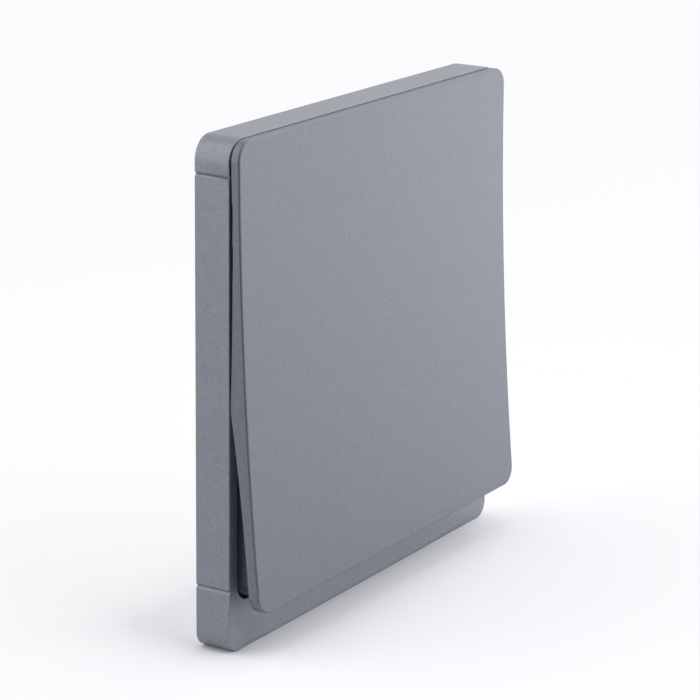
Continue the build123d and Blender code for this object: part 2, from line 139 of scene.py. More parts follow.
def add_node(
    tree: bpy.types.NodeTree,
    kind: str,
    inputs: dict[str | int, object] | None = None,
    **settings: object,
) -> bpy.types.Node:
    """Add one node, set its properties and fill or link its inputs.

    Args:
        tree: Tree that gets the node.
        kind: Blender's identifier of the node type.
        inputs: Values or output sockets, by input name or index.
        settings: Properties of the node.

    Returns:
        The new node.
    """
    node = tree.nodes.new(kind)
    for key, value in settings.items():
        setattr(node, key, value)
    for key, value in (inputs or {}).items():
        if isinstance(value, bpy.types.NodeSocket):
            tree.links.new(value, node.inputs[key])
        else:
            node.inputs[key].default_value = value
    return node


def math_node(tree: bpy.types.NodeTree, operation: str, *values: object) -> bpy.types.NodeSocket:
    """Work out one value from others in a node tree.

    Args:
        tree: Tree that gets the node.
        operation: Name of the operation.
        values: Numbers or output sockets.

    Returns:
        The result.
    """
    return add_node(tree, "ShaderNodeMath", dict(enumerate(values)), operation=operation).outputs[0]


def vector_node(tree: bpy.types.NodeTree, operation: str, *values: object) -> bpy.types.Node:
    """Work on vectors in a node tree.

    Args:
        tree: Tree that gets the node.
        operation: Name of the operation.
        values: Vectors or output sockets.

    Returns:
        The node, whose output is a vector or a value by operation.
    """
    return add_node(tree, "ShaderNodeVectorMath", dict(enumerate(values)), operation=operation)


def mixed(
    tree: bpy.types.NodeTree,
    share: float,
    first: bpy.types.NodeSocket,
    second: bpy.types.NodeSocket,
) -> bpy.types.NodeSocket:
    """Mix two values of a node tree.

    Args:
        tree: Tree that gets the node.
        share: Share of the second value.
        first: Value at a share of nothing.
        second: Value at a share of one.

    Returns:
        The mixed value.
    """
    # The mix node names its sockets alike for each kind of data: 2 and 3 take plain values
    values = {"Factor": share, 2: first, 3: second}
    return add_node(tree, "ShaderNodeMix", values, data_type="FLOAT").outputs[0]


def placed(name: str, data: bpy.types.ID) -> bpy.types.Object:
    """Put a mesh, a lamp or a camera into the scene.

    Args:
        name: Name of the object.
        data: What the object shows or does.

    Returns:
        The new object at the origin.
    """
    made = bpy.data.objects.new(name, data)
    bpy.context.scene.collection.objects.link(made)
    return made


@dataclass(frozen=True)
class Finish:
    """A surface finish that dresses pieces with one procedural material.

    The fields hold what every finish here has: two close tones that the pattern mixes, the grain of that
    pattern, the roughness and how far it varies, and the relief of the surface. Grains that are too fine
    for a picture of the whole switch are drawn coarser than real, at 0.2 mm or more.
    """

    name: str
    slot: Slot
    dark: str
    light: str
    grain_mm: float
    roughness: float
    roughness_spread: float
    metallic: float
    relief_mm: float
    relief_grain_mm: float
    stretch: Place = (1.0, 1.0, 1.0)
    octaves: float = 3.0
    octave_share: float = 0.6
    relief_octaves: float = 2.0

    def material(self) -> bpy.types.Material:
        """Build the material on first use.

        Returns:
            The material of this finish.
        """
        known = bpy.data.materials.get(self.name)
        if known:
            return known
        made = bpy.data.materials.new(self.name)
        made.use_nodes = True
        tree = made.node_tree
        tree.nodes.clear()
        place = add_node(tree, "ShaderNodeTexCoord").outputs["Object"]
        spot = add_node(tree, "ShaderNodeMapping", {"Vector": place, "Scale": self.stretch}).outputs[0]
        tone = self.tone(tree, spot)
        shader = add_node(
            tree,
            "ShaderNodeBsdfPrincipled",
            {
                "Base Color": self.colour(tree, tone),
                "Metallic": self.metallic,
                "Roughness": self.gloss(tree, tone),
                "Normal": self.surface(tree, spot),
            },
        )
        add_node(tree, "ShaderNodeOutputMaterial", {"Surface": shader.outputs[0]})
        return made

    def tone(self, tree: bpy.types.NodeTree, spot: bpy.types.NodeSocket) -> bpy.types.NodeSocket:
        """Pattern between 0 and 1 that mixes the two tones.

        Args:
            tree: Tree of the material.
            spot: Place on the piece.

        Returns:
            The pattern's value.
        """
        noise = {
            "Vector": spot,
            "Scale": grain(self.grain_mm),
            "Detail": self.octaves,
            "Roughness": self.octave_share,
        }
        return add_node(tree, "ShaderNodeTexNoise", noise).outputs["Fac"]

    def colour(self, tree: bpy.types.NodeTree, tone: bpy.types.NodeSocket) -> bpy.types.NodeSocket:
        """Mix the dark and the light tone by the pattern.

        Args:
            tree: Tree of the material.
            tone: The pattern's value.

        Returns:
            The colour.
        """
        # Sockets 6 and 7 of the mix node take colours
        mix = {"Factor": tone, 6: linear(self.dark), 7: linear(self.light)}
        return add_node(tree, "ShaderNodeMix", mix, data_type="RGBA").outputs[2]

    def gloss(self, tree: bpy.types.NodeTree, tone: bpy.types.NodeSocket) -> bpy.types.NodeSocket:
        """Let the roughness vary with the pattern.

        Args:
            tree: Tree of the material.
            tone: The pattern's value.

        Returns:
            The roughness.
        """
        span = {
            "Value": tone,
            "To Min": self.roughness - self.roughness_spread,
            "To Max": self.roughness + self.roughness_spread,
        }
        return add_node(tree, "ShaderNodeMapRange", span).outputs[0]

    def surface(self, tree: bpy.types.NodeTree, spot: bpy.types.NodeSocket) -> bpy.types.NodeSocket:
        """Give the surface a fine relief.

        Args:
            tree: Tree of the material.
            spot: Place on the piece.

        Returns:
            The bumped normal.
        """
        noise = {"Vector": spot, "Scale": grain(self.relief_grain_mm), "Detail": self.relief_octaves}
        height = add_node(tree, "ShaderNodeTexNoise", noise).outputs["Fac"]
        bump = {"Height": height, "Distance": self.relief_mm * MM}
        return add_node(tree, "ShaderNodeBump", bump).outputs[0]

    def dress(self, piece: bpy.types.Object) -> None:
        """Give a piece this finish as its only material.

        Args:
            piece: Mesh object to dress.
        """
        piece.data.materials.clear()
        piece.data.materials.append(self.material())


@dataclass(frozen=True)
class FlakePaint(Finish):
    """Metallic paint: flakes in a clear binder, each catching the light by itself.

    Real flakes of about 0.03 mm are finer than a pixel here, so flake_mm draws them coarser.
    """

    flake_mm: float = 0.2
    flake_share: float = 0.5

    def tone(self, tree: bpy.types.NodeTree, spot: bpy.types.NodeSocket) -> bpy.types.NodeSocket:
        """Clouded paint with single flakes in it.

        Args:
            tree: Tree of the material.
            spot: Place on the piece.

        Returns:
            The pattern's value.
        """
        cloud = Finish.tone(self, tree, spot)
        cells = {"Vector": spot, "Scale": grain(self.flake_mm)}
        flake = add_node(tree, "ShaderNodeTexVoronoi", cells).outputs["Color"]
        return mixed(tree, self.flake_share, cloud, flake)


# Dark silver lacquer sprayed on moulded ABS: a satin grey with fine metallic flakes, cool in tone
ROCKER_PAINT = FlakePaint(
    name="dark_silver_lacquer_on_abs_rocker",
    slot=Slot.PAINT,
    dark="#595e69",
    light="#767b86",
    grain_mm=0.5,
    roughness=0.4,
    roughness_spread=0.05,
    metallic=0.3,
    relief_mm=0.004,
    relief_grain_mm=0.4,
    flake_mm=0.24,
    flake_share=0.5,
)

# The same lacquer on the frame, painted paler than on the rocker: painted light that brightens the frame's
# top, side and chin, and its flakes show more
LIGHTENED_FRAME_PAINT = FlakePaint(
    name="dark_silver_lacquer_on_abs_frame",
    slot=Slot.PAINT,
    dark="#727680",
    light="#92969e",
    grain_mm=0.4,
    roughness=0.42,
    roughness_spread=0.06,
    metallic=0.3,
    relief_mm=0.006,
    relief_grain_mm=0.3,
    flake_mm=0.24,
    flake_share=0.6,
)

# Light grey flame-retardant PBT, moulded in a spark-eroded tool: matte, with a fine even texture
BASE_PLASTIC = Finish(
    name="light_grey_moulded_pbt",
    slot=Slot.BASE,
    dark="#d3d3cf",
    light="#e2e2de",
    grain_mm=1.4,
    roughness=0.56,
    roughness_spread=0.06,
    metallic=0.0,
    relief_mm=0.012,
    relief_grain_mm=0.35,
)

# White acetal, moulded in a polished tool: waxy satin, slightly warm
ACETAL = Finish(
    name="white_moulded_acetal",
    slot=Slot.BEARING,
    dark="#e6e4dd",
    light="#efede7",
    grain_mm=2.0,
    roughness=0.34,
    roughness_spread=0.05,
    metallic=0.0,
    relief_mm=0.004,
    relief_grain_mm=0.8,
)

# Rolled brass strip, stamped: drawn lines along the strip, bright yellow with slight tarnish
BRASS = Finish(
    name="stamped_rolled_brass",
    slot=Slot.BRASS,
    dark="#b98f45",
    light="#dcb766",
    grain_mm=0.5,
    roughness=0.3,
    roughness_spread=0.09,
    metallic=1.0,
    relief_mm=0.004,
    relief_grain_mm=0.3,
    stretch=(4.0, 4.0, 0.5),
)

# Fine silver contact rivets: pale and softly bright, lightly dulled
SILVER = Finish(
    name="fine_silver_contact_metal",
    slot=Slot.SILVER,
    dark="#c6c3bd",
    light="#e4e2de",
    grain_mm=0.4,
    roughness=0.28,
    roughness_spread=0.08,
    metallic=1.0,
    relief_mm=0.003,
    relief_grain_mm=0.2,
)

# Zinc-plated steel: bluish bright metal with a fine spangle
ZINC = Finish(
    name="zinc_plated_steel",
    slot=Slot.STEEL,
    dark="#a3a6aa",
    light="#ced0d2",
    grain_mm=0.35,
    roughness=0.32,
    roughness_spread=0.1,
    metallic=1.0,
    relief_mm=0.004,
    relief_grain_mm=0.25,
)


def settle(piece: bpy.types.Object, body: Body, finish: Finish, nodes: Sequence[str]) -> None:
    """Dress a finished piece, set it on its body and let it stand for CAD nodes.

    Args:
        piece: Finished mesh object at the origin.
        body: Body that carries it.
        finish: Finish of its surface.
        nodes: CAD nodes that it replaces.
    """
    finish.dress(piece)
    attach(piece, body.value)
    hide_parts(*nodes)
    log.info("%s: %d faces", piece.name, len(piece.data.polygons))


def flatten(piece: bpy.types.Object) -> None:
    """Turn a piece's modifiers into plain mesh.

    Args:
        piece: Object with live modifiers.
    """
    graph = bpy.context.evaluated_depsgraph_get()
    mesh = bpy.data.meshes.new_from_object(piece.evaluated_get(graph))
    piece.modifiers.clear()
    piece.data = mesh
    mesh.name = piece.name


def shade(mesh: bpy.types.Mesh, sharp_deg: float) -> None:
    """Shade a mesh smooth up to an angle.

    Args:
        mesh: Mesh to shade.
        sharp_deg: Edges steeper than this stay sharp.
    """
    mesh.polygons.foreach_set("use_smooth", [True] * len(mesh.polygons))
    mesh.set_sharp_from_angle(angle=math.radians(sharp_deg))


@dataclass
class Moulding:
    """A moulded piece that takes its shape from a CAD node and gets even shading."""

    node: str
    body: Body
    finish: Finish
    sharp_deg: float = 36.0
    flat_deg: float = 0.2
    merge_mm: float = 0.0005

    def build(self) -> None:
        """Join the node's loose triangles, shade them evenly and dress the result."""
        joined = bmesh.new()
        joined.from_mesh(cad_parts[self.node].data)
        bmesh.ops.remove_doubles(joined, verts=joined.verts, dist=self.merge_mm * MM)
        bmesh.ops.dissolve_limit(
            joined,
            angle_limit=math.radians(self.flat_deg),
            verts=joined.verts,
            edges=joined.edges,
        )
        self.shape(joined)
        mesh = bpy.data.meshes.new(f"{self.node}_moulding")
        joined.to_mesh(mesh)
        joined.free()
        shade(mesh, self.sharp_deg)
        piece = placed(mesh.name, mesh)
        even = piece.modifiers.new("even shading", "WEIGHTED_NORMAL")
        even.keep_sharp = True
        flatten(piece)
        settle(piece, self.body, self.finish, [self.node])

    def shape(self, joined: bmesh.types.BMesh) -> None:
        """Change the joined mesh before it is shaded; plain mouldings stay as they are.

        Args:
            joined: The node's mesh in one piece.
        """


@dataclass
class FrameMoulding(Moulding):
    """The frame, whose chin rises softly from its ends and falls steeply to its foot.

    The chin stands in front of the band's face at band_mm and ends at half_mm on both sides. Its foot is
    what lies within foot_reach_mm over foot_mm. A rise under level_mm is rounding on the band's own face.
    """

    band_mm: float = 6.5
    half_mm: float = 39.3
    left_ease_mm: float = 7.0
    right_ease_mm: float = 22.0
    foot_mm: float = -42.8
    foot_reach_mm: float = 2.2
    foot_share: float = 0.48
    level_mm: float = 0.01
    snap_mm: float = 0.0001
    steps: int = 8

    def shape(self, joined: bmesh.types.BMesh) -> None:
        """Cut the chin across where it eases off, then set its height there.

        Args:
            joined: The node's mesh in one piece.
        """
        for step in range(self.steps + 1):
            self.cut(joined, self.half_mm - self.right_ease_mm * step / self.steps)
            self.cut(joined, self.left_ease_mm * step / self.steps - self.half_mm)
        for vert in joined.verts:
            rise = -vert.co.y / MM - self.band_mm
            if rise > self.level_mm:
                vert.co.y = -(self.band_mm + rise * self.eased(vert.co.x / MM)) * MM
                above = vert.co.z / MM - self.foot_mm
                if above < self.foot_reach_mm:
                    vert.co.z = (self.foot_mm + above * self.foot_share) * MM

    def cut(self, joined: bmesh.types.BMesh, place: float) -> None:
        """Cut the chin's faces across.

        Args:
            joined: The node's mesh in one piece.
            place: Where the cut crosses the width, in millimetres.
        """
        chin = [face for face in joined.faces if face.calc_center_median().y < -self.band_mm * MM]
        edges = {edge for face in chin for edge in face.edges}
        verts = {vert for face in chin for vert in face.verts}
        bmesh.ops.bisect_plane(
            joined,
            geom=[*verts, *edges, *chin],
            dist=self.snap_mm * MM,
            plane_co=(place * MM, 0, 0),
            plane_no=(1, 0, 0),
        )

    def eased(self, place: float) -> float:
        """Give the share of the chin's height at a place.

        Args:
            place: Where it is across the width, in millimetres.

        Returns:
            A share between nothing and one that starts and ends flat.
        """
        ease = self.right_ease_mm if place > 0 else self.left_ease_mm
        share = min(max((self.half_mm - abs(place)) / ease, 0.0), 1.0)
        return share * share * (3 - 2 * share)


def turned_disc(
    tree: bpy.types.NodeTree,
    radius: bpy.types.NodeSocket,
    height: bpy.types.NodeSocket,
    crown: bpy.types.NodeSocket,
    power: float,
) -> bpy.types.NodeSocket:
    """Make a round disc that stands on the origin and falls off towards its rim.

    Args:
        tree: Tree that gets the nodes.
        radius: Radius of the disc.
        height: Height at its middle.
        crown: How far the rim lies below the middle.
        power: How late the fall begins, 2 for a dome.

    Returns:
        The disc's mesh.
    """
    blank = add_node(
        tree,
        "GeometryNodeMeshCylinder",
        {
            "Vertices": DISC_SIDES,
            "Side Segments": 2,
            "Fill Segments": DISC_RINGS,
            "Radius": radius,
            "Depth": height,
        },
        fill_type="TRIANGLE_FAN",
    )
    place = add_node(tree, "GeometryNodeInputPosition").outputs[0]
    axes = add_node(tree, "ShaderNodeSeparateXYZ", {0: place})
    flat = add_node(tree, "ShaderNodeCombineXYZ", {"X": axes.outputs["X"], "Y": axes.outputs["Y"]})
    reach = vector_node(tree, "LENGTH", flat.outputs[0]).outputs["Value"]
    share = math_node(tree, "POWER", math_node(tree, "DIVIDE", reach, radius), power)
    fall = math_node(tree, "MULTIPLY", math_node(tree, "MULTIPLY", share, crown), -1.0)
    half = math_node(tree, "MULTIPLY", height, 0.5)
    # The blank lies around the origin, and no point is between its middle and its top
    over_middle = math_node(tree, "MULTIPLY", half, 0.6)
    on_top = math_node(tree, "GREATER_THAN", axes.outputs["Z"], over_middle)
    sink = add_node(tree, "ShaderNodeCombineXYZ", {"Z": fall}).outputs[0]
    crowned = add_node(
        tree,
        "GeometryNodeSetPosition",
        {"Geometry": blank.outputs["Mesh"], "Selection": on_top, "Offset": sink},
    )
    return raised(tree, crowned.outputs[0], half)


def raised(
    tree: bpy.types.NodeTree,
    mesh: bpy.types.NodeSocket,
    height: bpy.types.NodeSocket,
) -> bpy.types.NodeSocket:
    """Move a mesh up its own axis.

    Args:
        tree: Tree that gets the nodes.
        mesh: Mesh to move.
        height: How far it moves.

    Returns:
        The moved mesh.
    """
    up = add_node(tree, "ShaderNodeCombineXYZ", {"Z": height}).outputs[0]
    return add_node(tree, "GeometryNodeTransform", {"Geometry": mesh, "Translation": up}).outputs[0]


def coiled_rod(
    tree: bpy.types.NodeTree,
    radius: bpy.types.NodeSocket,
    height: bpy.types.NodeSocket,
    turns: bpy.types.NodeSocket,
    rod: bpy.types.NodeSocket,
    sides: int,
) -> bpy.types.NodeSocket:
    """Sweep a thin rod along a spiral that climbs from the origin.

    Args:
        tree: Tree that gets the nodes.
        radius: Radius of the spiral.
        height: Height of its climb.
        turns: Number of turns.
        rod: Radius of the rod.
        sides: Corners of the rod's section.

    Returns:
        The coil's mesh.
    """
    path = add_node(
        tree,
        "GeometryNodeCurveSpiral",
        {
            "Resolution": TURN_STEPS,
            "Rotations": turns,
            "Start Radius": radius,
            "End Radius": radius,
            "Height": height,
        },
    )
    section = add_node(tree, "GeometryNodeCurvePrimitiveCircle", {"Resolution": sides, "Radius": rod})
    swept = add_node(
        tree,
        "GeometryNodeCurveToMesh",
        {"Curve": path.outputs[0], "Profile Curve": section.outputs[0], "Fill Caps": True},
    )
    return swept.outputs[0]


@dataclass
class Repeated:
    """A small part that a Geometry Nodes tree makes once and sets on each of its places."""

    name: str
    body: Body
    finish: Finish
    nodes: tuple[str, ...]
    places_mm: tuple[Place, ...]
    turn_deg: float
    seed: int = 4
    sharp_deg: float = 32.0

    def sizes(self) -> dict[str, float]:
        """Named sizes of one copy, which become the tree's inputs.

        Returns:
            Lengths in metres and plain counts, by name.
        """
        raise NotImplementedError

    def shape(self, tree: bpy.types.NodeTree, size: Sizes) -> bpy.types.NodeSocket:
        """Add the nodes of one copy, which stands on the origin and points up.

        Args:
            tree: Tree that gets the nodes.
            size: The tree's inputs by name.

        Returns:
            The copy's mesh.
        """
        raise NotImplementedError

    def grow(self) -> bpy.types.NodeTree:
        """Build the tree: one copy, turned and spun on every point, made real and dressed.

        Returns:
            The finished tree.
        """
        tree = bpy.data.node_groups.new(self.name, "GeometryNodeTree")
        sockets = tree.interface
        sockets.new_socket("Places", in_out="INPUT", socket_type="NodeSocketGeometry")
        sockets.new_socket("Finish", in_out="INPUT", socket_type="NodeSocketMaterial")
        sockets.new_socket("Seed", in_out="INPUT", socket_type="NodeSocketInt")
        sockets.new_socket("Turn", in_out="INPUT", socket_type="NodeSocketVector")
        for key in self.sizes():
            sockets.new_socket(key, in_out="INPUT", socket_type="NodeSocketFloat")
        sockets.new_socket("Parts", in_out="OUTPUT", socket_type="NodeSocketGeometry")
        given = add_node(tree, "NodeGroupInput").outputs
        one = self.shape(tree, {key: given[key] for key in self.sizes()})
        # Sockets 2 and 3 of the random value are the limits of a plain number
        spin = add_node(tree, "FunctionNodeRandomValue", {2: 0.0, 3: math.tau, "Seed": given["Seed"]})
        own = add_node(tree, "ShaderNodeCombineXYZ", {"Z": spin.outputs[1]}).outputs[0]
        aim = add_node(
            tree,
            "FunctionNodeRotateRotation",
            {
                "Rotation": add_node(tree, "FunctionNodeEulerToRotation", {0: given["Turn"]}).outputs[0],
                "Rotate By": add_node(tree, "FunctionNodeEulerToRotation", {0: own}).outputs[0],
            },
            rotation_space="LOCAL",
        )
        copies = add_node(
            tree,
            "GeometryNodeInstanceOnPoints",
            {"Points": given["Places"], "Instance": one, "Rotation": aim.outputs[0]},
        )
        real = add_node(tree, "GeometryNodeRealizeInstances", {0: copies.outputs[0]})
        dressed = add_node(
            tree,
            "GeometryNodeSetMaterial",
            {"Geometry": real.outputs[0], "Material": given["Finish"]},
        )
        add_node(tree, "NodeGroupOutput", {0: dressed.outputs[0]})
        return tree

    def build(self) -> bpy.types.Object:
        """Lay out the places, run the tree over them and keep the plain mesh.

        Returns:
            The dressed piece.
        """
        points = bpy.data.meshes.new(self.name)
        points.from_pydata([Vector(place) * MM for place in self.places_mm], [], [])
        piece = placed(self.name, points)
        tree = self.grow()
        values = {
            "Finish": self.finish.material(),
            "Seed": self.seed,
            "Turn": (math.radians(self.turn_deg), 0.0, 0.0),
            **self.sizes(),
        }
        grower = piece.modifiers.new("grow", "NODES")
        grower.node_group = tree
        for item in tree.interface.items_tree:
            if item.in_out == "INPUT" and item.name in values:
                grower[item.identifier] = values[item.name]
        flatten(piece)
        shade(piece.data, self.sharp_deg)
        settle(piece, self.body, self.finish, self.nodes)
        return piece


@dataclass
class SlottedScrew(Repeated):
    """Screws with a crowned slotted head and a rolled thread on the shank."""

    head_mm: float = 2.0
    head_height_mm: float = 1.4
    crown_mm: float = 0.3
    crown_power: float = 6.0
    slot_mm: float = 0.5
    saw_reach: float = 3.0
    shank_mm: float = 1.2
    shank_length_mm: float = 2.6
    shank_sides: int = 32
    pitch_mm: float = 0.5
    thread_mm: float = 0.16
    thread_sides: int = 4

    def sizes(self) -> dict[str, float]:
        """Named sizes of one screw.

        Returns:
            Lengths in metres and the thread's turns, by name.
        """
        return {
            "Head Radius": self.head_mm * MM,
            "Head Height": self.head_height_mm * MM,
            "Crown": self.crown_mm * MM,
            "Slot Width": self.slot_mm * MM,
            "Core Radius": (self.shank_mm - self.thread_mm) * MM,
            "Thread": self.thread_mm * MM,
            "Shank Length": self.shank_length_mm * MM,
            "Turns": (self.shank_length_mm - 2 * self.thread_mm) / self.pitch_mm,
        }

    def shape(self, tree: bpy.types.NodeTree, size: Sizes) -> bpy.types.NodeSocket:
        """Turn the head, saw its slot and roll the thread under it.

        Args:
            tree: Tree that gets the nodes.
            size: The tree's inputs by name.

        Returns:
            The screw's mesh.
        """
        head = turned_disc(tree, size["Head Radius"], size["Head Height"], size["Crown"], self.crown_power)
        width = math_node(tree, "MULTIPLY", size["Head Radius"], self.saw_reach)
        saw = add_node(
            tree,
            "ShaderNodeCombineXYZ",
            {"X": width, "Y": size["Slot Width"], "Z": size["Head Height"]},
        ).outputs[0]
        blade = add_node(tree, "GeometryNodeMeshCube", {"Size": saw}).outputs["Mesh"]
        cut = raised(tree, blade, size["Head Height"])
        slotted = add_node(
            tree,
            "GeometryNodeMeshBoolean",
            {"Mesh 1": head, "Mesh 2": cut},
            operation="DIFFERENCE",
            solver="EXACT",
        )
        down = math_node(tree, "MULTIPLY", size["Shank Length"], -1.0)
        core = add_node(
            tree,
            "GeometryNodeMeshCylinder",
            {"Vertices": self.shank_sides, "Radius": size["Core Radius"], "Depth": size["Shank Length"]},
        ).outputs["Mesh"]
        margin = math_node(tree, "MULTIPLY", size["Thread"], 2.0)
        climb = math_node(tree, "SUBTRACT", size["Shank Length"], margin)
        thread = coiled_rod(
            tree,
            size["Core Radius"],
            climb,
            size["Turns"],
            size["Thread"],
            self.thread_sides,
        )
        joined = add_node(tree, "GeometryNodeJoinGeometry")
        parts = (
            slotted.outputs["Mesh"],
            raised(tree, core, math_node(tree, "MULTIPLY", down, 0.5)),
            raised(tree, thread, math_node(tree, "ADD", down, size["Thread"])),
        )
        for part in parts:
            tree.links.new(part, joined.inputs[0])
        return joined.outputs[0]


@dataclass
class ContactButton(Repeated):
    """Riveted contact buttons with a domed face."""

    radius_mm: float = 1.5
    height_mm: float = 0.8
    dome_mm: float = 0.3
    dome_power: float = 2.0

    def sizes(self) -> dict[str, float]:
        """Named sizes of one button.

        Returns:
            Lengths in metres, by name.
        """
        return {"Radius": self.radius_mm * MM, "Height": self.height_mm * MM, "Dome": self.dome_mm * MM}

    def shape(self, tree: bpy.types.NodeTree, size: Sizes) -> bpy.types.NodeSocket:
        """Turn one button.

        Args:
            tree: Tree that gets the nodes.
            size: The tree's inputs by name.

        Returns:
            The button's mesh.
        """
        return turned_disc(tree, size["Radius"], size["Height"], size["Dome"], self.dome_power)


@dataclass
class CoilSpring(Repeated):
    """A wound spring behind a plunger."""

    radius_mm: float = 1.25
    height_mm: float = 3.5
    wire_mm: float = 0.38
    wire_sides: int = 10
    turns: float = 4.0
    joint: str = ""
    keep: float = 0.65

    def sizes(self) -> dict[str, float]:
        """Named sizes of one spring.

        Returns:
            Lengths in metres and the turns, by name.
        """
        return {
            "Radius": self.radius_mm * MM,
            "Height": self.height_mm * MM,
            "Wire": self.wire_mm / 2 * MM,
            "Turns": self.turns,
        }

    def shape(self, tree: bpy.types.NodeTree, size: Sizes) -> bpy.types.NodeSocket:
        """Wind one spring.

        Args:
            tree: Tree that gets the nodes.
            size: The tree's inputs by name.

        Returns:
            The spring's mesh.
        """
        return coiled_rod(
            tree,
            size["Radius"],
            size["Height"],
            size["Turns"],
            size["Wire"],
            self.wire_sides,
        )

    def build(self) -> bpy.types.Object:
        """Wind the spring and give it a mesh of its own.

        Returns:
            The dressed piece.
        """
        piece = super().build()
        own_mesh(piece)
        return piece


def corners(x: float, y: float, z: float) -> tuple[Place, ...]:
    """List the corners of an upright rectangle around the switch's middle.

    Args:
        x: Half of its width.
        y: Its place from front to rear.
        z: Half of its height.

    Returns:
        The four corners.
    """
    return tuple((across * x, y, up * z) for across in (-1, 1) for up in (-1, 1))


@dataclass(frozen=True)
class ContactSet:
    """The crossover mechanism behind the rocker: springs, see-saw contacts and terminal screws."""

    pole_mm: float = 9.0
    pivot_mm: float = 6.0
    blade_tilt_deg: float = 7.0
    blade_seat_mm: float = 0.4
    contact_arm_mm: float = 6.8
    fixed_seat_mm: float = 9.0
    rocker_lean_deg: float = 3.05
    rocker_pivot_mm: float = -3.5
    spring_seat_mm: float = -0.47
    terminal_mm: Place = (13.3, 13.2, 15.6)
    lug_mm: Place = (0.0, 2.0, 24.5)

    def build(self) -> None:
        """Make the screws, the contacts and the springs."""
        SlottedScrew(
            "terminal_screw_set",
            Body.HOUSING,
            ZINC,
            ("terminal_screws",),
            corners(*self.terminal_mm),
            TO_REAR_DEG,
        ).build()
        x, y, z = self.lug_mm
        SlottedScrew(
            "housing_screw_set",
            Body.HOUSING,
            ZINC,
            ("housing_screws",),
            ((x, y, -z), (x, y, z)),
            TO_REAR_DEG,
            head_mm=2.6,
            head_height_mm=1.6,
            crown_mm=0.4,
            shank_length_mm=6.6,
        ).build()
        ContactButton(
            "fixed_contact_set",
            Body.HOUSING,
            SILVER,
            ("fixed_contacts",),
            corners(self.pole_mm, self.fixed_seat_mm, self.contact_arm_mm),
            TO_FRONT_DEG,
            radius_mm=1.7,
            height_mm=0.9,
            dome_mm=0.08,
        ).build()
        for side, blade in ((Side.LEFT, Body.BLADE_LEFT), (Side.RIGHT, Body.BLADE_RIGHT)):
            self.moving(side, blade)
            self.spring(side)

    def moving(self, side: Side, blade: Body) -> None:
        """Rivet the two contacts behind one blade.

        Args:
            side: Pole of the blade.
            blade: Body of the blade.
        """
        tilt = math.radians(self.blade_tilt_deg)
        back = Vector((0, math.cos(tilt), math.sin(tilt))) * self.blade_seat_mm
        up = Vector((0, -math.sin(tilt), math.cos(tilt))) * self.contact_arm_mm
        middle = Vector((side.value * self.pole_mm, self.pivot_mm, 0))
        places = tuple(tuple(middle + back + up * end) for end in (-1, 1))
        name = f"moving_contacts_{side.word}"
        turn = TO_REAR_DEG + self.blade_tilt_deg
        ContactButton(f"{name}_set", blade, SILVER, (name,), places, turn).build()

    def spring(self, side: Side) -> None:
        """Wind the spring behind one plunger.

        Args:
            side: Pole of the plunger.
        """
        lean = math.radians(self.rocker_lean_deg)
        along = Vector((0, math.cos(lean), -math.sin(lean)))
        seat = Vector((side.value * self.pole_mm, self.rocker_pivot_mm, 0)) + along * self.spring_seat_mm
        CoilSpring(
            f"spring_{side.word}_coil",
            Body.ROCKER,
            ZINC,
            (f"spring_{side.word}",),
            (tuple(seat),),
            TO_REAR_DEG - self.rocker_lean_deg,
            joint=f"plunger_{side.word}_slide",
        ).build()


@dataclass(frozen=True)
class Softbox:
    """One soft lamp, placed round the object by angles and aimed at its middle, with lengths in metres."""

    name: str
    azimuth_deg: float
    height_deg: float
    distance: float
    width: float
    length: float
    watts: float

    def build(self, centre: Vector) -> None:
        """Hang the lamp.

        Args:
            centre: Point that the lamp aims at.
        """
        lamp = bpy.data.lights.new(self.name, "AREA")
        lamp.shape = "RECTANGLE"
        lamp.size = self.width
        lamp.size_y = self.length
        lamp.energy = self.watts
        holder = placed(self.name, lamp)
        turn = math.radians(self.azimuth_deg)
        rise = math.radians(self.height_deg)
        out = Vector((math.cos(rise) * math.cos(turn), math.cos(rise) * math.sin(turn), math.sin(rise)))
        holder.location = centre + out * self.distance
        holder.rotation_euler = out.to_track_quat("Z", "Y").to_euler()
        holder.visible_camera = False


